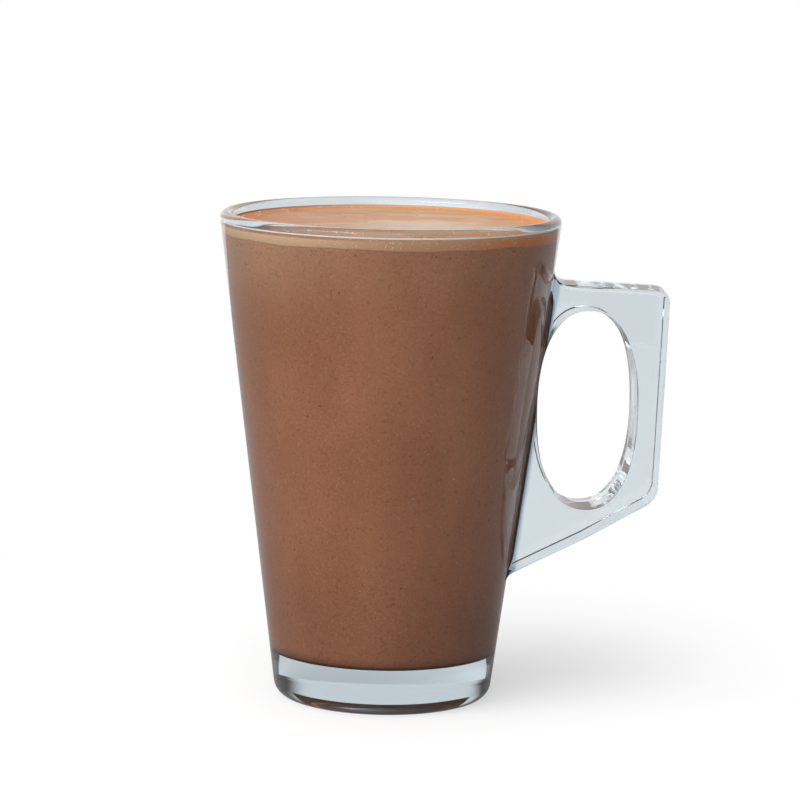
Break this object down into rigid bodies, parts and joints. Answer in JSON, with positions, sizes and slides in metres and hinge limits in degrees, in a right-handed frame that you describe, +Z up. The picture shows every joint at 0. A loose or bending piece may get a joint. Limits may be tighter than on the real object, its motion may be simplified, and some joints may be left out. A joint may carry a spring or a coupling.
{
  "type": "hot chocolate in a glass mug",
  "caption": "Tapered clear glass mug with a flat plate handle and an oval finger hole, filled with hot chocolate up to a thin layer of froth just below the rim.",
  "frame": {"origin": "on the mug's axis, in the plane of the flat ring that it stands on", "axes": "+Z up along the mug's axis, +X through the middle of the handle, so the handle's flat faces look along +Y and -Y"},
  "size_m": [0.1012, 0.0764, 0.11],
  "materials": {
    "clear_glass": "fire-polished clear soda-lime glass",
    "chocolate": "milky brown drink, seen through glass",
    "froth": "fine tan froth"
  },
  "bodies": {
    "root": {"mug": "clear_glass", "hot_chocolate": "chocolate", "froth": "froth"}
  },
  "joints": []
}
